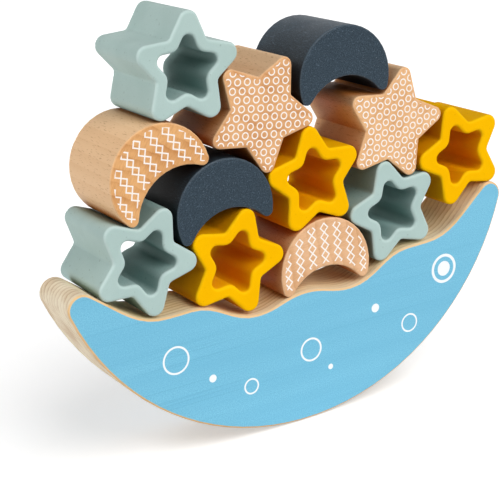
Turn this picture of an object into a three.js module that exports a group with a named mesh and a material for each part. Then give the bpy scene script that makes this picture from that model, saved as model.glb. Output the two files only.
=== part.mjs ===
// A rocking balance toy: twelve loose stars and crescents stacked on a crescent shaped rocker.
// Millimetres, +Z up. X runs along the rocker, Y from the front faces to the back.
import * as THREE from "three";

// Rocker: a slab with a round underside, round tips and a wavy top, alike left and right.
const ROCKER_RADIUS = 119.2;
const ROCKER_DEPTH = 30;
const ROCKER_EDGE = 1.2; // rounding of its rims
const ROCKER_FLAT = 9; // width of the facet that meets the table
const ROCKER_TIP_RADIUS = 6.5;
const ROCKER_TIP_DROP = 19.5; // degrees from the level through the rocker's centre down to a tip
const ROCKER_TIP_SLOPE = 37; // degrees, slope of the top where it runs up to a tip
// Heights of the top above the lowest point of the underside, and distances from the middle.
const HUMP_HEIGHT = 61.2;
const VALLEY_HEIGHT = 57.1;
const VALLEY_REACH = 24.5;
const SHOULDER_HEIGHT = 68;
const SHOULDER_START = 57;
const SHOULDER_END = 68;

// Soft hollow stars.
const SOFT_STAR_TIP = 24.2; // from the middle to the end of a rounded tip
const SOFT_STAR_NOTCH = 15; // from the middle to a notch
const SOFT_STAR_TIP_ROUND = 4.6;
const SOFT_STAR_NOTCH_ROUND = 2.2;
const SOFT_STAR_WALL = 5;
const SOFT_STAR_HOLE_TIP_ROUND = 3;
const SOFT_STAR_HOLE_NOTCH_ROUND = 5;
const SOFT_EDGE = 1.4; // rounding of the rims

// Solid wooden stars.
const WOOD_STAR_TIP = 26.1;
const WOOD_STAR_NOTCH = 15.8;
const WOOD_STAR_TIP_ROUND = 3.6;
const WOOD_STAR_NOTCH_ROUND = 0.8;

// Crescents: a disc with a round bite, and rounded horns.
const CRESCENT_RADIUS = 23.5;
const CRESCENT_BITE_RADIUS = 22.4;
const CRESCENT_BITE_SHIFT = 21.2;
const CRESCENT_HORN_ROUND = 2.8;

const PIECE_DEPTH = 40; // every loose piece, front to back
const WOOD_EDGE = 0.8; // rounding of the wooden pieces' rims
const SEAT_GAP = 0.3; // clearance where one piece rests on another
const FACET_SAG = 0.07; // how far a facet may stray from its true curve

// Grams per cubic millimetre, for the balance of the stack.
const WOOD_DENSITY = 0.65e-3;
const SILICONE_DENSITY = 1.1e-3;

const PINE = { color: 0xe3cfa6, roughness: 0.6 };
const SAGE = { color: 0xbcd3cd, roughness: 0.55 };
const YELLOW = { color: 0xfdc300, roughness: 0.5 };
const BEECH = { color: 0xdca673, roughness: 0.6 };
const NAVY = { color: 0x434f5a, roughness: 0.65 };

// The stack from the bottom up. Each piece starts at a place counted in reaches of a soft star, across from
// the middle and up from the lowest point of the level rocker, and turned by some degrees. From there it
// settles on what was placed before it.
const STACK = [
  { name: "sage_star_left", form: softStar, finish: SAGE, across: -3.117, up: 3.877, turn: 59.5 },
  { name: "yellow_star_left", form: softStar, finish: YELLOW, across: -1.384, up: 3.42, turn: -2.7 },
  { name: "wood_crescent_mid", form: crescent, finish: BEECH, across: 0.503, up: 2.832, turn: -0.8 },
  { name: "sage_star_right", form: softStar, finish: SAGE, across: 2.121, up: 3.577, turn: 29.3 },
  { name: "yellow_star_right", form: softStar, finish: YELLOW, across: 3.745, up: 4.313, turn: 33.9 },
  { name: "navy_crescent_mid", form: crescent, finish: NAVY, across: -1.448, up: 4.378, turn: 5.5 },
  { name: "yellow_star_mid", form: softStar, finish: YELLOW, across: 0.409, up: 4.566, turn: 21.2 },
  { name: "wood_crescent_left", form: crescent, finish: BEECH, across: -2.665, up: 5.273, turn: 28.3 },
  { name: "wood_star_left", form: woodStar, finish: BEECH, across: -0.588, up: 6.02, turn: 55.5 },
  { name: "wood_star_right", form: woodStar, finish: BEECH, across: 2.2, up: 5.2, turn: 0.6 },
  { name: "sage_star_top", form: softStar, finish: SAGE, across: -1.955, up: 7.08, turn: 10.6 },
  { name: "navy_crescent_top", form: crescent, finish: NAVY, across: 1.19, up: 6.36, turn: -0.7 },
];

const { degToRad } = THREE.MathUtils;
const FIFTH = (2 * Math.PI) / 5;
const DOWN = -Math.PI / 2;
const CENTRE = new THREE.Vector2();

function polar(radius, angle) {
  return new THREE.Vector2(radius * Math.cos(angle), radius * Math.sin(angle));
}

// Points along an arc, close enough that no facet strays more than FACET_SAG.
function arcPoints(centre, radius, from, to) {
  const step = 2 * Math.acos(1 - FACET_SAG / radius);
  const count = Math.max(2, Math.ceil(Math.abs(to - from) / step));
  return Array.from({ length: count + 1 }, (_, i) =>
    polar(radius, from + ((to - from) * i) / count).add(centre),
  );
}

// A closed outline whose sharp corners are each rounded to their own radius.
function roundedOutline(corners) {
  return corners.flatMap(({ at, round }, i) => {
    const back = corners.at(i - 1).at.clone().sub(at).normalize();
    const ahead = corners[(i + 1) % corners.length].at.clone().sub(at).normalize();
    const half = Math.acos(back.dot(ahead)) / 2;
    const centre = back.clone().add(ahead).setLength(round / Math.sin(half)).add(at);
    const start = back.clone().multiplyScalar(round / Math.tan(half)).add(at).sub(centre).angle();
    const sweep = Math.PI - 2 * half;
    const turnsLeft = back.cross(ahead) < 0;
    return arcPoints(centre, round, start, turnsLeft ? start + sweep : start - sweep);
  });
}

// The outline of a five pointed star with sharp tips and notches at these radii.
function starOutline(tip, notch, tipRound, notchRound) {
  const corners = Array.from({ length: 5 }, (_, i) => [
    { at: polar(tip, i * FIFTH), round: tipRound },
    { at: polar(notch, (i + 0.5) * FIFTH), round: notchRound },
  ]);
  return roundedOutline(corners.flat());
}

// Half the angle of a star's sharp tip.
function tipHalfAngle(tip, notch) {
  return Math.atan2(notch * Math.sin(FIFTH / 2), tip - notch * Math.cos(FIFTH / 2));
}

// Where the sharp tip lies that ends at the wanted reach once it is rounded.
function sharpTip(reach, notch, round) {
  const rounds = 40;
  let tip = reach;
  for (let i = 0; i < rounds; i += 1) {
    tip = reach + round * (1 / Math.sin(tipHalfAngle(tip, notch)) - 1);
  }
  return tip;
}

function softStar() {
  const tip = sharpTip(SOFT_STAR_TIP, SOFT_STAR_NOTCH, SOFT_STAR_TIP_ROUND);
  const half = tipHalfAngle(tip, SOFT_STAR_NOTCH);
  const holeTip = tip - SOFT_STAR_WALL / Math.sin(half);
  const holeNotch = SOFT_STAR_NOTCH - SOFT_STAR_WALL / Math.sin(half + FIFTH / 2);
  const outer = starOutline(tip, SOFT_STAR_NOTCH, SOFT_STAR_TIP_ROUND, SOFT_STAR_NOTCH_ROUND);
  const hole = starOutline(holeTip, holeNotch, SOFT_STAR_HOLE_TIP_ROUND, SOFT_STAR_HOLE_NOTCH_ROUND);
  return { outer, hole, depth: PIECE_DEPTH, edge: SOFT_EDGE, edgeSteps: 2, density: SILICONE_DENSITY };
}

function woodStar() {
  const tip = sharpTip(WOOD_STAR_TIP, WOOD_STAR_NOTCH, WOOD_STAR_TIP_ROUND);
  const outer = starOutline(tip, WOOD_STAR_NOTCH, WOOD_STAR_TIP_ROUND, WOOD_STAR_NOTCH_ROUND);
  return { outer, depth: PIECE_DEPTH, edge: WOOD_EDGE, edgeSteps: 1, density: WOOD_DENSITY };
}

// A crescent that opens downwards, about the centre of its outer arc.
function crescent() {
  const bite = new THREE.Vector2(0, -CRESCENT_BITE_SHIFT);
  const toHorn = CRESCENT_RADIUS - CRESCENT_HORN_ROUND;
  const biteToHorn = CRESCENT_BITE_RADIUS + CRESCENT_HORN_ROUND;
  const drop = (toHorn ** 2 + CRESCENT_BITE_SHIFT ** 2 - biteToHorn ** 2) / (2 * CRESCENT_BITE_SHIFT);
  const rightHorn = new THREE.Vector2(Math.sqrt(toHorn ** 2 - drop ** 2), -drop);
  const leftHorn = new THREE.Vector2(-rightHorn.x, rightHorn.y);
  const outerEnd = Math.atan2(rightHorn.y, rightHorn.x);
  const biteEnd = rightHorn.clone().sub(bite).angle();
  const outer = [
    ...arcPoints(CENTRE, CRESCENT_RADIUS, outerEnd, Math.PI - outerEnd),
    ...arcPoints(leftHorn, CRESCENT_HORN_ROUND, Math.PI - outerEnd, 2 * Math.PI - biteEnd).slice(1),
    ...arcPoints(bite, CRESCENT_BITE_RADIUS, Math.PI - biteEnd, biteEnd).slice(1),
    ...arcPoints(rightHorn, CRESCENT_HORN_ROUND, biteEnd - Math.PI, outerEnd).slice(1, -1),
  ];
  return { outer, depth: PIECE_DEPTH, edge: WOOD_EDGE, edgeSteps: 1, density: WOOD_DENSITY };
}

// A smooth run between two points of the wavy top, each with its own slope.
function swell(from, to, fromSlope, toSlope) {
  const steps = 8;
  const hold = 0.42 * (to.x - from.x);
  const leave = new THREE.Vector2(from.x + hold, from.y + hold * fromSlope);
  const arrive = new THREE.Vector2(to.x - hold, to.y - hold * toSlope);
  return new THREE.CubicBezierCurve(from, leave, arrive, to).getPoints(steps);
}

// The rocker standing level, about the centre of its underside's arc. The facet that meets the table
// lies at the contact angle.
function rocker(contact) {
  const topPoint = (x, height) => new THREE.Vector2(x, height - ROCKER_RADIUS);
  const mirrored = (points) => points.map(({ x, y }) => new THREE.Vector2(-x, y)).reverse();
  const tipAngle = degToRad(-ROCKER_TIP_DROP);
  const tipSlope = degToRad(ROCKER_TIP_SLOPE);
  const tip = polar(ROCKER_RADIUS - ROCKER_TIP_RADIUS, tipAngle);
  const tipArc = arcPoints(tip, ROCKER_TIP_RADIUS, tipAngle, Math.PI / 2 + tipSlope);
  const shoulderEnd = topPoint(SHOULDER_END, SHOULDER_HEIGHT);
  const shoulderStart = topPoint(SHOULDER_START, SHOULDER_HEIGHT);
  const valley = topPoint(VALLEY_REACH, VALLEY_HEIGHT);
  const hump = topPoint(0, HUMP_HEIGHT);
  const rightTop = [
    ...swell(tipArc.at(-1), shoulderEnd, Math.tan(tipSlope), 0),
    ...swell(shoulderStart, valley, 0, 0),
    ...swell(valley, hump, 0, 0).slice(1),
  ];
  const halfFlat = Math.asin(ROCKER_FLAT / 2 / ROCKER_RADIUS);
  const outer = [
    ...arcPoints(CENTRE, ROCKER_RADIUS, contact + halfFlat, tipAngle),
    ...tipArc.slice(1, -1),
    ...rightTop,
    ...mirrored(rightTop).slice(1),
    ...mirrored(tipArc).slice(1, -1),
    ...arcPoints(CENTRE, ROCKER_RADIUS, -Math.PI - tipAngle, contact - halfFlat),
  ];
  return { outer, depth: ROCKER_DEPTH, edge: ROCKER_EDGE, edgeSteps: 1, density: WOOD_DENSITY };
}

function turned(points, angle) {
  return points.map((point) => point.clone().rotateAround(CENTRE, angle));
}

// Distance from a point to a closed outline, negative inside it.
function distanceTo(point, outline) {
  let nearest = Infinity;
  let inside = false;
  outline.forEach((end, i) => {
    const start = outline.at(i - 1);
    const runX = end.x - start.x;
    const runY = end.y - start.y;
    const along = ((point.x - start.x) * runX + (point.y - start.y) * runY) / (runX ** 2 + runY ** 2);
    const share = Math.min(1, Math.max(0, along));
    const awayX = point.x - start.x - share * runX;
    const awayY = point.y - start.y - share * runY;
    nearest = Math.min(nearest, Math.hypot(awayX, awayY));
    const crosses = end.y > point.y !== start.y > point.y;
    if (crosses && point.x < start.x + ((point.y - start.y) * runX) / runY) {
      inside = !inside;
    }
  });
  return inside ? -nearest : nearest;
}

// The least distance between two outlines, negative where they overlap.
function clearance(outline, other) {
  return Math.min(
    ...outline.map((point) => distanceTo(point, other)),
    ...other.map((point) => distanceTo(point, outline)),
  );
}

// Where an outline comes to rest: pushed clear of the outlines placed before it, or lifted over them where
// there is no room between them, and then lowered.
function settle(outline, start, placed) {
  const nudge = 0.02;
  const close = 0.004;
  const stride = 2;
  const mostMoves = 300;
  const reach = Math.max(...outline.map((point) => point.length()));

  // How far it could still move before its gap to the others is too small, negative if it is already.
  const spare = (place) => {
    const here = outline.map((point) => point.clone().add(place));
    const near = placed.filter((other) => distanceTo(place, other) < reach + stride);
    return Math.min(stride, ...near.map((other) => clearance(here, other))) - SEAT_GAP;
  };
  const moved = (place, x, y) => new THREE.Vector2(place.x + x, place.y + y);

  let place = start;
  for (let i = 0; i < mostMoves && spare(place) < 0; i += 1) {
    const away = new THREE.Vector2(
      spare(moved(place, nudge, 0)) - spare(moved(place, -nudge, 0)),
      spare(moved(place, 0, nudge)) - spare(moved(place, 0, -nudge)),
    );
    away.setLength(close - spare(place));
    place = moved(place, away.x, away.y);
  }
  while (spare(place) < 0) {
    place = moved(place, 0, stride);
  }
  for (let i = 0; i < mostMoves && spare(place) > close; i += 1) {
    place = moved(place, 0, -spare(place));
  }
  return place;
}

// Mass of a form, and its middle, from the area of its outline.
function balance({ outer, hole, depth, density }) {
  const middle = new THREE.Vector2();
  let area = 0;
  for (const outline of [outer, hole ? hole.toReversed() : []]) {
    outline.forEach((end, i) => {
      const start = outline.at(i - 1);
      const part = start.cross(end) / 2;
      area += part;
      middle.add(start.clone().add(end).multiplyScalar(part / 3));
    });
  }
  return { mass: area * depth * density, middle: middle.divideScalar(area) };
}

// A form stood upright with its front face at the front of the stack.
function solid({ outer, hole, depth, edge, edgeSteps }) {
  const shape = new THREE.Shape(outer);
  if (hole) {
    shape.holes.push(new THREE.Path(hole.toReversed()));
  }
  const geometry = new THREE.ExtrudeGeometry(shape, {
    depth: depth - 2 * edge,
    bevelThickness: edge,
    bevelSize: edge,
    bevelOffset: -edge,
    bevelSegments: edgeSteps,
  });
  geometry.translate(0, 0, edge);
  geometry.rotateX(Math.PI / 2);
  geometry.translate(0, depth - PIECE_DEPTH / 2, 0);
  return geometry;
}

function piece(name, form, finish) {
  const mesh = new THREE.Mesh(solid(form), new THREE.MeshStandardMaterial(finish));
  mesh.name = name;
  return mesh;
}

// The stack is laid out about the centre of the rocker's underside, with the rocker level.
const levelRocker = rocker(DOWN);
const placed = [levelRocker.outer];
const weighed = [{ ...balance(levelRocker), at: CENTRE }];
const toy = new THREE.Group();
for (const { name, form, finish, across, up, turn } of STACK) {
  const made = form();
  const angle = degToRad(turn);
  const outline = turned(made.outer, angle);
  const start = new THREE.Vector2(across * SOFT_STAR_TIP, up * SOFT_STAR_TIP - ROCKER_RADIUS);
  const at = settle(outline, start, placed);
  placed.push(outline.map((point) => point.clone().add(at)));
  const { mass, middle } = balance(made);
  weighed.push({ mass, middle: middle.rotateAround(CENTRE, angle), at });
  const mesh = piece(name, made, finish);
  mesh.position.set(at.x, 0, at.y);
  mesh.rotation.y = -angle;
  toy.add(mesh);
}

// The toy rocks until its centre of mass hangs under the centre of the underside.
const heavy = new THREE.Vector2();
for (const { mass, middle, at } of weighed) {
  heavy.add(middle.clone().add(at).multiplyScalar(mass));
}
const lean = DOWN - Math.atan2(heavy.y, heavy.x);
toy.add(piece("rocker_base", rocker(DOWN - lean), PINE));
toy.rotation.y = -lean;
toy.position.z = Math.sqrt(ROCKER_RADIUS ** 2 - (ROCKER_FLAT / 2) ** 2);

// The origin is under the middle of the whole toy.
const box = new THREE.Box3().setFromObject(toy, true);
toy.position.x -= (box.min.x + box.max.x) / 2;

const part = new THREE.Group();
part.add(toy);
export default part;
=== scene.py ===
"""Looks of the rocking balance toy: rounded blocks, their finishes, the studio and the camera."""
import math

import bmesh
import bpy
from mathutils import Matrix, Vector


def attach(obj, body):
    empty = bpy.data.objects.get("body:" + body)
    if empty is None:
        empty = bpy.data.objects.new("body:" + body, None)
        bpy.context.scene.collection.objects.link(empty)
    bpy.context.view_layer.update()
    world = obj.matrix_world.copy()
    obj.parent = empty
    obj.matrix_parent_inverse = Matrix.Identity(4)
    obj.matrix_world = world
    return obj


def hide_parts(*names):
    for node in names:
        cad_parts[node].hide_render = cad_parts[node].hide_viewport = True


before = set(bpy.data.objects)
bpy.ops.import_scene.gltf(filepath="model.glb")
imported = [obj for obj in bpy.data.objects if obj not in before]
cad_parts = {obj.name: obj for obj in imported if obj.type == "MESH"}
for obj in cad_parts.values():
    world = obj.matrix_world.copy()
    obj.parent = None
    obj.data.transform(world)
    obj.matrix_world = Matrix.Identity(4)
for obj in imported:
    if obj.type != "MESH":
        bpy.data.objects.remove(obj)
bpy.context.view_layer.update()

MM = 0.001

# Rounding of the rims, as the solids have it, and the number of flat strips that make it up.
SOFT_RIM, SOFT_STRIPS = 1.4 * MM, 6
WOOD_RIM, WOOD_STRIPS = 0.8 * MM, 4
ROCKER_RIM, ROCKER_STRIPS = 1.2 * MM, 6

HOLE_SHARE = 0.96  # size of a soft star's hole, against the solid's
BEECH_COAT = 0.6 * MM  # how far a face's finish reaches round the rim, measured along Y
ROCKER_COAT = 0.1 * MM
STAR_MARGIN = 0.4 * MM  # bare edge round a print
CRESCENT_MARGIN = 1.1 * MM
PLAIN_MARGIN = 0.2 * MM

RING_RADIUS = 1.4 * MM
RING_LINE = 0.56 * MM
CHAIN_GAP = 6.7 * MM  # from one chain to the next
CHAIN_WIDTH = 3.8 * MM
CHAIN_LENGTH = 4.2 * MM  # of one diamond
CHAIN_LINE = 0.62 * MM

POCKET_REACH = 25 * MM  # how near other surfaces paint shade into a crevice
CONTACT_REACH = 22 * MM  # how near the toy dims the floor's glow, a painted contact shadow

# The toy and the studio are lit by lamps of their own.
TOY = bpy.data.collections.new("toy")
STUDIO = bpy.data.collections.new("studio")
for collection in (TOY, STUDIO):
    bpy.context.scene.collection.children.link(collection)


# Blocks

def open_walls(node):
    """A merged copy of a CAD block, cut down to the straight walls between its two faces."""
    bm = bmesh.new()
    bm.from_mesh(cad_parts[node].data)
    bmesh.ops.remove_doubles(bm, verts=bm.verts, dist=0.002 * MM)
    ends = [face for face in bm.faces if abs(face.normal.y) > 0.1]
    bmesh.ops.delete(bm, geom=ends, context="FACES")
    slanted = []
    for edge in bm.edges:
        run = edge.verts[1].co - edge.verts[0].co
        if abs(run.y) > MM and math.hypot(run.x, run.z) > 0.01 * MM:
            slanted.append(edge)
    bmesh.ops.dissolve_edges(bm, edges=slanted, use_verts=False)
    return bm


def close_end(bm, side, round_radius, strips, margin):
    """Closes one end with a quarter round rim and a flat face, and returns the field inside the margin."""
    middle = half_depth(bm)
    open_edges = [edge for edge in bm.edges if edge.is_boundary]
    rim = [edge for edge in open_edges if (edge.verts[0].co.y - middle) * side > 0]
    filled = bmesh.ops.triangle_fill(bm, edges=rim, use_beauty=True, normal=(0, side, 0))
    field = [item for item in filled["geom"] if isinstance(item, bmesh.types.BMFace)]
    bmesh.ops.recalc_face_normals(bm, faces=bm.faces)
    for strip in range(strips):
        start = math.pi / 2 * strip / strips
        end = math.pi / 2 * (strip + 1) / strips
        inward = round_radius * (math.cos(start) - math.cos(end))
        outward = round_radius * (math.sin(end) - math.sin(start))
        bmesh.ops.inset_region(bm, faces=field, use_boundary=True, use_even_offset=True,
                               thickness=inward, depth=outward)
    bmesh.ops.inset_region(bm, faces=field, use_boundary=True, use_even_offset=True, thickness=margin)
    return field


def front_and_back(bm):
    """The Y of a block's front and of its back."""
    depths = [vert.co.y for vert in bm.verts]
    return min(depths), max(depths)


def half_depth(bm):
    """The Y half way between a block's front and its back."""
    return sum(front_and_back(bm)) / 2


def mark_rims(bm, round_radius):
    """Stores a value that is 1 half way up the round of a rim and falls to 0 on both sides."""
    layer = bm.verts.layers.float.new("rim")
    front, back = front_and_back(bm)
    for vert in bm.verts:
        depth = min(vert.co.y - front, back - vert.co.y)
        share = min(1, depth / round_radius)
        vert[layer] = math.sin(math.pi * share)


def mark_field(bm, field):
    """Stores 1 on the points of the fields that a print may fill."""
    layer = bm.verts.layers.float.new("field")
    for face in field:
        for vert in face.verts:
            vert[layer] = 1


def tighten_hole(bm, share):
    """Draws the wall of a hole in towards the middle of its block."""
    middle = sum((vert.co for vert in bm.verts), Vector()) / len(bm.verts)
    inner = set()
    for face in bm.faces:
        if face.normal.dot(face.calc_center_median() - middle) < 0:
            inner.update(face.verts)
    bmesh.ops.scale(bm, verts=list(inner), vec=(share, 1, share), space=Matrix.Translation(-middle))


def coat_rims(bm, coat_depth):
    """Gives the second finish to the two flat faces and to the part of the rims close to them."""
    front, back = front_and_back(bm)
    for face in bm.faces:
        middle = face.calc_center_median().y
        if min(middle - front, back - middle) < coat_depth:
            face.material_index = 1


def block(node, finishes, round_radius, strips, margin=PLAIN_MARGIN, coat_depth=0, hole_share=1):
    """A rounded block in place of a CAD one. The second finish, if any, covers its two flat faces."""
    bm = open_walls(node)
    if hole_share < 1:
        tighten_hole(bm, hole_share)
    fields = [close_end(bm, side, round_radius, strips, margin) for side in (-1, 1)]
    for face in bm.faces:
        face.smooth = True
    if coat_depth:
        coat_rims(bm, coat_depth)
    mark_field(bm, fields[0] + fields[1])
    mark_rims(bm, round_radius)
    mesh = bpy.data.meshes.new(node + "_look")
    bm.to_mesh(mesh)
    bm.free()
    if "custom_normal" in mesh.attributes:
        mesh.attributes.remove(mesh.attributes["custom_normal"])
    for finish in finishes:
        mesh.materials.append(finish)
    piece = bpy.data.objects.new(node + "_look", mesh)
    TOY.objects.link(piece)
    piece.modifiers.new("even_shading", "WEIGHTED_NORMAL")
    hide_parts(node)
    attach(piece, node)


# Node helpers

def colour(code):
    """A colour written as six hex digits, in linear light."""
    parts = [int(code[i:i + 2], 16) / 255 for i in (0, 2, 4)]
    linear = [part / 12.92 if part <= 0.04045 else ((part + 0.055) / 1.055) ** 2.4 for part in parts]
    return (*linear, 1)


def add(tree, kind, inputs=None, **settings):
    """A node with its settings, and its inputs either linked or set."""
    node = tree.nodes.new(kind)
    for name, value in settings.items():
        setattr(node, name, value)
    for name, value in (inputs or {}).items():
        if isinstance(value, bpy.types.NodeSocket):
            tree.links.new(value, node.inputs[name])
        else:
            node.inputs[name].default_value = value
    return node


def maths(tree, operation, first, second=0.0):
    """A sum on one or two values."""
    return add(tree, "ShaderNodeMath", {0: first, 1: second}, operation=operation).outputs[0]


def vector_maths(tree, operation, first, second=(0, 0, 0)):
    """A sum on one or two vectors."""
    node = add(tree, "ShaderNodeVectorMath", {0: first, 1: second}, operation=operation)
    return node.outputs["Value" if operation == "LENGTH" else "Vector"]


def ramp(tree, value, start, end, low=0.0, high=1.0):
    """Runs smoothly from low to high while the value goes from start to end."""
    inputs = {"Value": value, "From Min": start, "From Max": end, "To Min": low, "To Max": high}
    return add(tree, "ShaderNodeMapRange", inputs, interpolation_type="SMOOTHSTEP").outputs["Result"]


def blend(tree, share, first, second, way="MIX"):
    """Goes from the first colour to the second by a share."""
    inputs = {"Factor": share, "A": first, "B": second}
    node = tree.nodes.new("ShaderNodeMix")
    node.data_type = "RGBA"
    node.blend_type = way
    for name, value in inputs.items():
        socket = next(s for s in node.inputs if s.name == name and s.enabled)
        if isinstance(value, bpy.types.NodeSocket):
            tree.links.new(value, socket)
        else:
            socket.default_value = value
    return next(s for s in node.outputs if s.enabled)


def noise(tree, vector, scale, detail=2.0):
    """Cloudy noise about one half."""
    inputs = {"Vector": vector, "Scale": scale, "Detail": detail, "Roughness": 0.5}
    return add(tree, "ShaderNodeTexNoise", inputs).outputs["Fac"]


def new_group(name, inputs, outputs):
    """An empty node group with named sockets, and its inner ends."""
    tree = bpy.data.node_groups.new(name, "ShaderNodeTree")
    for label, kind in inputs:
        tree.interface.new_socket(label, in_out="INPUT", socket_type=kind)
    for label, kind in outputs:
        tree.interface.new_socket(label, in_out="OUTPUT", socket_type=kind)
    return tree, tree.nodes.new("NodeGroupInput").outputs, tree.nodes.new("NodeGroupOutput").inputs


def place_group(tree, group, **inputs):
    """A node group in a tree, with its inputs given by their names in small letters."""
    node = tree.nodes.new("ShaderNodeGroup")
    node.node_tree = group
    for name, value in inputs.items():
        socket = node.inputs[name.replace("_", " ").capitalize()]
        if isinstance(value, bpy.types.NodeSocket):
            tree.links.new(value, socket)
        else:
            socket.default_value = value
    return node.outputs


# Effects that several finishes share

FLOAT = "NodeSocketFloat"
VECTOR = "NodeSocketVector"


def make_wood_figure():
    """Growth rings about the Y axis, rays that cross them, and short fibre flecks along the axis."""
    tree, given, out = new_group(
        "wood figure",
        [("Vector", VECTOR), ("Ring pitch", FLOAT), ("Wander", FLOAT), ("Sharpness", FLOAT)],
        [("Rings", FLOAT), ("Rays", FLOAT), ("Flecks", FLOAT), ("Clouds", FLOAT)],
    )
    along = vector_maths(tree, "MULTIPLY", given["Vector"], (1, 0.12, 1))
    slow_sway = maths(tree, "SUBTRACT", noise(tree, along, 35, 2), 0.5)
    quick_sway = maths(tree, "MULTIPLY", maths(tree, "SUBTRACT", noise(tree, along, 260, 2), 0.5), 0.3)
    sway = maths(tree, "MULTIPLY", maths(tree, "ADD", slow_sway, quick_sway), given["Wander"])
    flat = vector_maths(tree, "MULTIPLY", given["Vector"], (1, 0, 1))
    reach = vector_maths(tree, "LENGTH", flat)
    turns = maths(tree, "DIVIDE", maths(tree, "ADD", reach, sway), given["Ring pitch"])
    phase = maths(tree, "FRACT", turns)
    early = maths(tree, "POWER", phase, given["Sharpness"])
    late = ramp(tree, phase, 0.92, 1.0, 1.0, 0.0)
    clouds = noise(tree, along, 90, 3)
    strength = ramp(tree, clouds, 0.35, 0.65, 0.35, 1.0)
    lines = maths(tree, "MULTIPLY", maths(tree, "MULTIPLY", early, late), strength)
    tree.links.new(lines, out["Rings"])
    parts = add(tree, "ShaderNodeSeparateXYZ", {0: given["Vector"]}).outputs
    angle = maths(tree, "MULTIPLY", maths(tree, "ARCTAN2", parts["X"], parts["Z"]), 0.09)
    outward = maths(tree, "MULTIPLY", reach, 0.12)
    fan = add(tree, "ShaderNodeCombineXYZ", {0: angle, 1: outward, 2: 0.0}).outputs[0]
    tree.links.new(ramp(tree, noise(tree, fan, 2200, 1), 0.45, 0.7), out["Rays"])
    stretched = vector_maths(tree, "MULTIPLY", given["Vector"], (1, 0.16, 1))
    fleck = noise(tree, stretched, 2000, 2)
    tree.links.new(ramp(tree, fleck, 0.58, 0.72), out["Flecks"])
    tree.links.new(clouds, out["Clouds"])
    return tree


def make_stroke():
    """A printed line: full within half the line's width, with a slightly soft edge."""
    tree, given, out = new_group("stroke", [("Distance", FLOAT), ("Line", FLOAT)], [("Mask", FLOAT)])
    half = maths(tree, "MULTIPLY", given["Line"], 0.5)
    inner = maths(tree, "SUBTRACT", half, 0.06 * MM)
    outer = maths(tree, "ADD", half, 0.06 * MM)
    tree.links.new(ramp(tree, given["Distance"], inner, outer, 1.0, 0.0), out["Mask"])
    return tree


def make_ring_print(stroke):
    """Small rings in rows in the XZ plane, each row set half a step aside from the next."""
    tree, given, out = new_group(
        "ring print",
        [("Vector", VECTOR), ("Pitch", FLOAT), ("Row gap", FLOAT), ("Radius", FLOAT), ("Line", FLOAT)],
        [("Mask", FLOAT)],
    )
    two_rows = maths(tree, "MULTIPLY", given["Row gap"], 2.0)
    cell = add(tree, "ShaderNodeCombineXYZ", {0: given["Pitch"], 1: 1.0, 2: two_rows}).outputs[0]
    scaled = vector_maths(tree, "DIVIDE", given["Vector"], cell)
    reaches = []
    for shift in ((0, 0, 0), (0.5, 0, 0.5)):
        moved = vector_maths(tree, "ADD", scaled, shift)
        within = vector_maths(tree, "SUBTRACT", vector_maths(tree, "FRACTION", moved), (0.5, 0, 0.5))
        flat = vector_maths(tree, "MULTIPLY", within, (1, 0, 1))
        reaches.append(vector_maths(tree, "LENGTH", vector_maths(tree, "MULTIPLY", flat, cell)))
    nearest = maths(tree, "MINIMUM", reaches[0], reaches[1])
    distance = maths(tree, "ABSOLUTE", maths(tree, "SUBTRACT", nearest, given["Radius"]))
    tree.links.new(place_group(tree, stroke, distance=distance, line=given["Line"])["Mask"], out["Mask"])
    return tree


def make_chain_print(stroke):
    """Upright chains of diamonds, each made of two crossing zigzags, in the XZ plane."""
    tree, given, out = new_group(
        "chain print",
        [("Vector", VECTOR), ("Gap", FLOAT), ("Width", FLOAT), ("Length", FLOAT), ("Line", FLOAT)],
        [("Mask", FLOAT)],
    )
    parts = add(tree, "ShaderNodeSeparateXYZ", {0: given["Vector"]}).outputs
    turns = maths(tree, "DIVIDE", parts["X"], given["Gap"])
    aside = maths(tree, "SUBTRACT", maths(tree, "FRACT", turns), 0.5)
    aside = maths(tree, "MULTIPLY", maths(tree, "ABSOLUTE", aside), given["Gap"])
    half_length = maths(tree, "MULTIPLY", given["Length"], 0.5)
    swing = maths(tree, "DIVIDE", maths(tree, "PINGPONG", parts["Z"], half_length), half_length)
    swing = maths(tree, "MULTIPLY", swing, maths(tree, "MULTIPLY", given["Width"], 0.5))
    slope = maths(tree, "ARCTAN2", given["Width"], given["Length"])
    across = maths(tree, "ABSOLUTE", maths(tree, "SUBTRACT", aside, swing))
    distance = maths(tree, "MULTIPLY", across, maths(tree, "COSINE", slope))
    tree.links.new(place_group(tree, stroke, distance=distance, line=given["Line"])["Mask"], out["Mask"])
    return tree


def make_round_mark(stroke):
    """One printed ring round a centre in the XZ plane, or a dot where its radius is nothing."""
    tree, given, out = new_group(
        "round mark",
        [("Vector", VECTOR), ("Centre", VECTOR), ("Radius", FLOAT), ("Line", FLOAT)],
        [("Mask", FLOAT)],
    )
    offset = vector_maths(tree, "SUBTRACT", given["Vector"], given["Centre"])
    reach = vector_maths(tree, "LENGTH", vector_maths(tree, "MULTIPLY", offset, (1, 0, 1)))
    distance = maths(tree, "ABSOLUTE", maths(tree, "SUBTRACT", reach, given["Radius"]))
    tree.links.new(place_group(tree, stroke, distance=distance, line=given["Line"])["Mask"], out["Mask"])
    return tree


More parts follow.
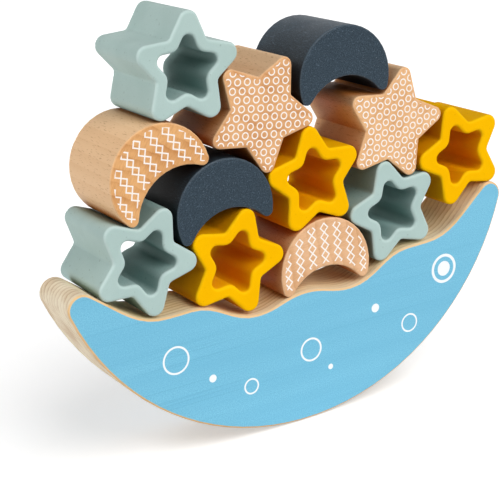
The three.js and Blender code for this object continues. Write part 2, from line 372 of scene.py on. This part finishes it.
def make_fine_specks():
    """Stray specks, a fine even grain, a gentle mottle and the roughness of a skin."""
    tree, given, out = new_group(
        "fine specks",
        [("Vector", VECTOR), ("Scale", FLOAT)],
        [("Specks", FLOAT), ("Grain", FLOAT), ("Mottle", FLOAT), ("Skin", FLOAT)],
    )
    fine = noise(tree, given["Vector"], given["Scale"], 1)
    tree.links.new(ramp(tree, fine, 0.68, 0.78), out["Specks"])
    tree.links.new(ramp(tree, noise(tree, given["Vector"], 1900, 2), 0.3, 0.7), out["Grain"])
    tree.links.new(noise(tree, given["Vector"], 60, 3), out["Mottle"])
    tree.links.new(noise(tree, given["Vector"], 3200, 2), out["Skin"])
    return tree


STROKE = make_stroke()
WOOD_FIGURE = make_wood_figure()
RING_PRINT = make_ring_print(STROKE)
CHAIN_PRINT = make_chain_print(STROKE)
ROUND_MARK = make_round_mark(STROKE)
FINE_SPECKS = make_fine_specks()


# Finishes

def new_finish(name):
    """A material with its shader, and the piece's own coordinates."""
    finish = bpy.data.materials.new(name)
    finish.use_nodes = True
    tree = finish.node_tree
    shader = tree.nodes["Principled BSDF"]
    place = tree.nodes.new("ShaderNodeTexCoord").outputs["Object"]
    return finish, tree, shader, place


def seen_from(tree, place, centre, turn):
    """Coordinates about a centre, turned back by so many degrees about the Y axis."""
    return add(
        tree,
        "ShaderNodeMapping",
        {"Vector": place, "Location": centre, "Rotation": (0, math.radians(turn), 0)},
        vector_type="TEXTURE",
    ).outputs["Vector"]


def paint_rim_highlight(tree, base, code, strength):
    """Paints a highlight in another colour along the rounded rims."""
    rim = add(tree, "ShaderNodeAttribute", attribute_name="rim").outputs["Fac"]
    share = maths(tree, "MULTIPLY", rim, strength)
    return blend(tree, share, base, colour(code))


def paint_pocket_shade(tree, base, code, strength):
    """Paints shade into the colour inside holes and in the crevices between pieces."""
    openness = add(tree, "ShaderNodeAmbientOcclusion", {"Distance": POCKET_REACH}, samples=8).outputs["AO"]
    share = ramp(tree, openness, 0.15, 0.75, strength, 0.0)
    return blend(tree, share, base, blend(tree, 1.0, base, colour(code), "MULTIPLY"))


def bump(tree, shader, height, strength, distance):
    """Raises a shader's surface by a height, or sinks it where the distance is below nothing."""
    node = add(tree, "ShaderNodeBump", {"Height": height, "Strength": strength, "Distance": distance})
    tree.links.new(node.outputs["Normal"], shader.inputs["Normal"])


def silicone(name, body, deep, speck, rim, painted_shade, gloss):
    """Matt moulded silicone with a faint mottle, stray specks, a painted highlight on its rims and painted
    shade in its hollows.
    """
    finish, tree, shader, place = new_finish(name)
    specks = place_group(tree, FINE_SPECKS, vector=place, scale=700.0)
    mottle = ramp(tree, specks["Mottle"], 0.3, 0.7, 0.0, 0.5)
    base = blend(tree, mottle, colour(body), colour(deep))
    base = blend(tree, maths(tree, "MULTIPLY", specks["Grain"], 0.3), base, colour(deep))
    base = blend(tree, maths(tree, "MULTIPLY", specks["Specks"], 0.5), base, colour(speck))
    # Painted highlight: a lighter colour along the rounded rims.
    base = paint_rim_highlight(tree, base, rim, 0.6)
    # Painted shade: a darker colour in the holes and crevices.
    base = paint_pocket_shade(tree, base, painted_shade, 1.0)
    tree.links.new(base, shader.inputs["Base Color"])
    rough = ramp(tree, specks["Mottle"], 0.3, 0.7, 0.5, 0.62)
    tree.links.new(rough, shader.inputs["Roughness"])
    shader.inputs["Specular IOR Level"].default_value = gloss
    bump(tree, shader, specks["Skin"], 0.12, 0.05 * MM)
    return finish


def wood_colour(tree, figure, pale, dark, fleck, ring_share, fleck_share):
    """Bare wood: pale early wood, darker lines and clouds of late wood, and short flecks."""
    base = blend(tree, maths(tree, "MULTIPLY", figure["Rings"], ring_share), colour(pale), colour(dark))
    clouds = ramp(tree, figure["Clouds"], 0.35, 0.7, 0.0, 0.4)
    base = blend(tree, maths(tree, "MULTIPLY", clouds, ring_share), base, colour(dark))
    return blend(tree, maths(tree, "MULTIPLY", figure["Flecks"], fleck_share), base, colour(fleck))


def beech_side(name, pith):
    """Sanded beech along its grain: pale, with fine reddish flecks that run from front to back."""
    finish, tree, shader, place = new_finish(name)
    vector = seen_from(tree, place, pith, 0)
    figure = place_group(
        tree, WOOD_FIGURE, vector=vector, ring_pitch=5.5 * MM, wander=5 * MM, sharpness=2.0,
    )
    base = wood_colour(tree, figure, "f3c99b", "dfac78", "b07448", 0.45, 0.5)
    # Painted shade: the colour darkens towards orange-brown in the crevices.
    base = paint_pocket_shade(tree, base, "c08846", 1.0)
    tree.links.new(base, shader.inputs["Base Color"])
    tree.links.new(ramp(tree, figure["Flecks"], 0.0, 1.0, 0.5, 0.6), shader.inputs["Roughness"])
    shader.inputs["Specular IOR Level"].default_value = 0.3
    bump(tree, shader, figure["Flecks"], 0.15, -0.08 * MM)
    return finish


def beech_face(name, pith, pale, dark, printed):
    """Sanded beech across its grain: growth lines with fine rays across them, and a white print."""
    finish, tree, shader, place = new_finish(name)
    vector = seen_from(tree, place, pith, 0)
    figure = place_group(
        tree, WOOD_FIGURE, vector=vector, ring_pitch=5.2 * MM, wander=6 * MM, sharpness=3.0,
    )
    base = wood_colour(tree, figure, pale, dark, "ab6c40", 0.75, 0.15)
    base = blend(tree, maths(tree, "MULTIPLY", figure["Rays"], 0.25), base, colour(dark))
    # Painted highlight: a paler colour along the rounded rims.
    base = paint_rim_highlight(tree, base, "f4cfa4", 0.5)
    field = add(tree, "ShaderNodeAttribute", attribute_name="field").outputs["Fac"]
    mask = maths(tree, "MULTIPLY", printed(tree, place), ramp(tree, field, 0.9, 0.99))
    worn = maths(tree, "MULTIPLY", mask, ramp(tree, figure["Flecks"], 0.0, 1.0, 0.97, 0.8))
    base = blend(tree, worn, base, colour("fdf6f0"))
    tree.links.new(base, shader.inputs["Base Color"])
    tree.links.new(ramp(tree, figure["Rings"], 0.0, 1.0, 0.62, 0.55), shader.inputs["Roughness"])
    shader.inputs["Specular IOR Level"].default_value = 0.3
    bump(tree, shader, figure["Rays"], 0.08, -0.05 * MM)
    return finish


def rings_on(centre, turn, pitch, row_gap, shift):
    """A print of rings about a centre, turned and shifted within the face."""
    def printed(tree, place):
        vector = vector_maths(tree, "SUBTRACT", seen_from(tree, place, centre, turn), shift)
        return place_group(
            tree, RING_PRINT, vector=vector,
            pitch=pitch, row_gap=row_gap, radius=RING_RADIUS, line=RING_LINE,
        )["Mask"]
    return printed


def chains_on(centre, turn):
    """A print of diamond chains about a centre, one of them through it, turned within the face."""
    def printed(tree, place):
        half_gap = (CHAIN_GAP / 2, 0, 0)
        vector = vector_maths(tree, "SUBTRACT", seen_from(tree, place, centre, turn), half_gap)
        return place_group(
            tree, CHAIN_PRINT, vector=vector,
            gap=CHAIN_GAP, width=CHAIN_WIDTH, length=CHAIN_LENGTH, line=CHAIN_LINE,
        )["Mask"]
    return printed


def navy_paint(name, pith):
    """Matt dark paint, with the wood's fibres and pale dust showing through."""
    finish, tree, shader, place = new_finish(name)
    vector = seen_from(tree, place, pith, 0)
    figure = place_group(
        tree, WOOD_FIGURE, vector=vector, ring_pitch=2.4 * MM, wander=2.5 * MM, sharpness=2.0,
    )
    specks = place_group(tree, FINE_SPECKS, vector=place, scale=1500.0)
    base = blend(tree, specks["Grain"], colour("1e2a34"), colour("384854"))
    base = blend(tree, maths(tree, "MULTIPLY", figure["Flecks"], 0.45), base, colour("64788a"))
    base = blend(tree, maths(tree, "MULTIPLY", specks["Specks"], 0.55), base, colour("84909a"))
    # Painted highlight: a paler grey along the rounded rims.
    base = paint_rim_highlight(tree, base, "55626c", 0.5)
    # Painted shade: the paint darkens in the crevices between pieces.
    base = paint_pocket_shade(tree, base, "606060", 1.0)
    tree.links.new(base, shader.inputs["Base Color"])
    tree.links.new(ramp(tree, specks["Mottle"], 0.3, 0.7, 0.4, 0.5), shader.inputs["Roughness"])
    shader.inputs["Specular IOR Level"].default_value = 0.2
    bump(tree, shader, figure["Flecks"], 0.25, 0.08 * MM)
    return finish


PINE_PITH = (0, 0.13, 0.035)


def pine_vector(tree, place):
    """Turns the pine's grain from the rocker's length onto the Y axis, about its pith."""
    return add(
        tree,
        "ShaderNodeMapping",
        {"Vector": place, "Location": PINE_PITH, "Rotation": (0, 0, math.radians(90))},
        vector_type="TEXTURE",
    ).outputs["Vector"]


def sanded_corner(tree, base, place, front, back):
    """A thin tan line where the sanded rim meets the painted faces."""
    depth = add(tree, "ShaderNodeSeparateXYZ", {0: place}).outputs["Y"]
    from_front = maths(tree, "SUBTRACT", depth, front)
    from_back = maths(tree, "SUBTRACT", back, depth)
    inset = maths(tree, "MINIMUM", from_front, from_back)
    return blend(tree, ramp(tree, inset, 0.3 * MM, 1.2 * MM, 0.8, 0.0), base, colour("e6b676"))


def pine(name, front, back):
    """Bare pine on the rocker's rim, with its layers running along it."""
    finish, tree, shader, place = new_finish(name)
    vector = pine_vector(tree, place)
    figure = place_group(
        tree, WOOD_FIGURE, vector=vector, ring_pitch=2.9 * MM, wander=7 * MM, sharpness=3.0,
    )
    base = wood_colour(tree, figure, "fff1d6", "b5854a", "cba873", 0.9, 0.3)
    base = sanded_corner(tree, base, place, front, back)
    # Painted shade: a warmer, slightly darker colour in the valleys between pieces.
    base = paint_pocket_shade(tree, base, "fff4d8", 1.0)
    tree.links.new(base, shader.inputs["Base Color"])
    tree.links.new(ramp(tree, figure["Rings"], 0.0, 1.0, 0.65, 0.55), shader.inputs["Roughness"])
    shader.inputs["Specular IOR Level"].default_value = 0.3
    bump(tree, shader, figure["Rings"], 0.1, 0.1 * MM)
    return finish


# White marks on the rocker in millimetres: the x, z, radius and line of each ring. A dot has no radius.
ROCKER_MARKS = (
    (-66, 46, 6.0, 0.9),
    (-49, 33, 0.0, 3.6),
    (-30, 24, 3.4, 0.8),
    (2, 33, 5.2, 0.9),
    (12, 22, 0.0, 2.6),
    (38, 44, 0.0, 4.2),
    (57, 32, 4.2, 0.8),
    (78, 54, 6.4, 1.4),
    (78, 54, 0.0, 7.2),
)


def blue_paint(name):
    """Sky blue paint on the rocker's faces: fine grooves of the grain, and white marks printed on it."""
    finish, tree, shader, place = new_finish(name)
    specks = place_group(tree, FINE_SPECKS, vector=place, scale=1300.0)
    grooves = noise(tree, vector_maths(tree, "MULTIPLY", place, (8, 1, 1500)), 1, 0)
    grooves = ramp(tree, grooves, 0.66, 0.8)
    broad = noise(tree, vector_maths(tree, "MULTIPLY", place, (4, 1, 90)), 1, 2)
    base = blend(tree, ramp(tree, broad, 0.3, 0.7), colour("86cce6"), colour("7cc2de"))
    base = blend(tree, maths(tree, "MULTIPLY", specks["Grain"], 0.85), base, colour("66b2d3"))
    base = blend(tree, maths(tree, "MULTIPLY", grooves, 0.25), base, colour("559fc0"))
    mask = None
    for x, z, radius, line in ROCKER_MARKS:
        centre = (x * MM, 0, z * MM)
        mark = place_group(
            tree, ROUND_MARK, vector=place, centre=centre, radius=radius * MM, line=line * MM,
        )["Mask"]
        mask = mark if mask is None else maths(tree, "MAXIMUM", mask, mark)
    base = blend(tree, maths(tree, "MULTIPLY", mask, 0.97), base, colour("fbfdfe"))
    tree.links.new(base, shader.inputs["Base Color"])
    tree.links.new(ramp(tree, specks["Mottle"], 0.3, 0.7, 0.5, 0.6), shader.inputs["Roughness"])
    shader.inputs["Specular IOR Level"].default_value = 0.3
    bump(tree, shader, grooves, 0.2, -0.06 * MM)
    return finish


# The toy

# Each silicone's rim colour paints a highlight along the rounded rims, and its pocket colour paints shade
# into the holes and crevices.
SAGE = silicone(
    "sage silicone",
    body="b4cbc6", deep="a8c0bb", speck="81958f", rim="c8dcd8", painted_shade="b4c6c6", gloss=0.25,
)
YELLOW = silicone(
    "yellow silicone",
    body="fdbf00", deep="f7b500", speck="e2a000", rim="ffcc10", painted_shade="e8ceb0", gloss=0.02,
)

for node in ("sage_star_left", "sage_star_right", "sage_star_top"):
    block(node, [SAGE], SOFT_RIM, SOFT_STRIPS, hole_share=HOLE_SHARE)
for node in ("yellow_star_left", "yellow_star_mid", "yellow_star_right"):
    block(node, [YELLOW], SOFT_RIM, SOFT_STRIPS, hole_share=HOLE_SHARE)


def middle_of(node):
    """The mean of a CAD block's points."""
    points = [vert.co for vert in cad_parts[node].data.vertices]
    return sum(points, Vector()) / len(points)


def beech_block(node, pith, pale, dark, printed, margin):
    """A beech block with a printed face, and its growth rings centred so far from its middle."""
    centre = middle_of(node) + Vector(pith)
    side = beech_side(node + " side", centre)
    face = beech_face(node + " face", centre, pale, dark, printed)
    block(node, [side, face], WOOD_RIM, WOOD_STRIPS, margin, coat_depth=BEECH_COAT)


STAR_LEFT_RINGS = rings_on(
    middle_of("wood_star_left"),
    turn=6.7, pitch=4.7 * MM, row_gap=3.8 * MM, shift=(1.3 * MM, 0, -1.4 * MM),
)
STAR_RIGHT_RINGS = rings_on(
    middle_of("wood_star_right"),
    turn=-18.5, pitch=4.24 * MM, row_gap=4.18 * MM, shift=(0.15 * MM, 0, 3.5 * MM),
)
CRESCENT_LEFT_CHAINS = chains_on(middle_of("wood_crescent_left"), turn=-31.5)
CRESCENT_MID_CHAINS = chains_on(middle_of("wood_crescent_mid"), turn=-0.7)

beech_block(
    "wood_star_left",
    pith=(0.05, 0, 0.09), pale="e6b07c", dark="bd7a3e",
    printed=STAR_LEFT_RINGS, margin=STAR_MARGIN,
)
beech_block(
    "wood_star_right",
    pith=(-0.08, 0, 0.06), pale="edbb88", dark="cf9258",
    printed=STAR_RIGHT_RINGS, margin=STAR_MARGIN,
)
beech_block(
    "wood_crescent_left",
    pith=(-0.06, 0, -0.09), pale="e8b074", dark="b5702f",
    printed=CRESCENT_LEFT_CHAINS, margin=CRESCENT_MARGIN,
)
beech_block(
    "wood_crescent_mid",
    pith=(0.12, 0, 0.02), pale="eabb90", dark="c98f5a",
    printed=CRESCENT_MID_CHAINS, margin=CRESCENT_MARGIN,
)

for node, pith in (("navy_crescent_mid", (0.07, 0, 0.06)), ("navy_crescent_top", (-0.05, 0, 0.09))):
    paint = navy_paint(node + " paint", middle_of(node) + Vector(pith))
    block(node, [paint], WOOD_RIM, WOOD_STRIPS)

depths = [vert.co.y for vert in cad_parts["rocker_base"].data.vertices]
rocker_finishes = [pine("rocker pine", min(depths), max(depths)), blue_paint("rocker blue")]
block("rocker_base", rocker_finishes, ROCKER_RIM, ROCKER_STRIPS, coat_depth=ROCKER_COAT)


# Studio

def studio_floor():
    """Pale paper that looks white to the camera and in reflections, and keeps the toy's shadow, with a
    painted contact shadow where its glow dims near the toy.
    """
    bm = bmesh.new()
    bmesh.ops.create_grid(bm, x_segments=2, y_segments=2, size=6)
    bmesh.ops.translate(bm, verts=bm.verts, vec=(0, 0, -0.2 * MM))
    mesh = bpy.data.meshes.new("studio_floor")
    bm.to_mesh(mesh)
    bm.free()
    finish, tree, shader, _ = new_finish("studio floor paper")
    shader.inputs["Roughness"].default_value = 0.9
    shader.inputs["Specular IOR Level"].default_value = 0.1
    path = tree.nodes.new("ShaderNodeLightPath").outputs
    shown = maths(tree, "MAXIMUM", path["Is Camera Ray"], path["Is Glossy Ray"])
    shown = maths(tree, "MAXIMUM", shown, path["Is Transmission Ray"])
    shader.inputs["Base Color"].default_value = (0.6, 0.6, 0.6, 1)
    shader.inputs["Emission Color"].default_value = (1, 1, 1, 1)
    # The glow dims near the toy: a painted contact shadow on top of the cast one.
    openness = add(tree, "ShaderNodeAmbientOcclusion", {"Distance": CONTACT_REACH}, samples=8).outputs["AO"]
    glow_with_painted_shadow = ramp(tree, openness, 0.2, 1.0, 0.5, 0.65)
    tree.links.new(maths(tree, "MULTIPLY", shown, glow_with_painted_shadow), shader.inputs["Emission Strength"])
    mesh.materials.append(finish)
    floor = bpy.data.objects.new("studio_floor", mesh)
    STUDIO.objects.link(floor)


def soft_lamp(name, towards, strength, spread, lit):
    """A lamp whose light travels one way, with a spread in degrees, and falls on one collection."""
    lamp = bpy.data.lights.new(name, "SUN")
    lamp.energy = strength
    lamp.angle = math.radians(spread)
    holder = bpy.data.objects.new(name, lamp)
    holder.rotation_euler = Vector(towards).to_track_quat("-Z", "Y").to_euler()
    holder.light_linking.receiver_collection = lit
    bpy.context.scene.collection.objects.link(holder)


def studio_light():
    """Surroundings that are dim but look white in reflections, and four lamps."""
    world = bpy.data.worlds.new("studio")
    world.use_nodes = True
    tree = world.node_tree
    sky = tree.nodes["Background"]
    sky.inputs["Color"].default_value = (1, 1, 1, 1)
    mirrored = tree.nodes.new("ShaderNodeLightPath").outputs["Is Glossy Ray"]
    tree.links.new(ramp(tree, mirrored, 0.0, 1.0, 0.13, 0.9), sky.inputs["Strength"])
    bpy.context.scene.world = world
    soft_lamp("front", (-0.2, 0.8, -0.57), 2.75, 45, TOY)
    soft_lamp("side", (0.97, -0.1, -0.12), 1.75, 30, TOY)
    soft_lamp("back", (-0.05, -1, 0), 1.6, 4, TOY)
    soft_lamp("overhead", (-0.12, 0.59, -0.8), 2.6, 46, STUDIO)


def portrait_camera():
    """Left of the front and a little above, with the slight roll that the portrait has."""
    camera = bpy.data.objects.new("camera", bpy.data.cameras.new("camera"))
    camera.data.sensor_width = 36
    camera.data.lens = 104.7
    aside = Matrix.Rotation(math.radians(-30.0), 3, "Z")
    down = Matrix.Rotation(math.radians(90 - 17.9), 3, "X")
    roll = Matrix.Rotation(math.radians(-3.77), 3, "Z")
    camera.rotation_euler = (aside @ down @ roll).to_euler()
    camera.location = (-0.3224, -0.5335, 0.2833)
    bpy.context.scene.collection.objects.link(camera)
    bpy.context.scene.camera = camera


studio_floor()
studio_light()
portrait_camera()
bpy.context.scene.view_settings.view_transform = "Standard"
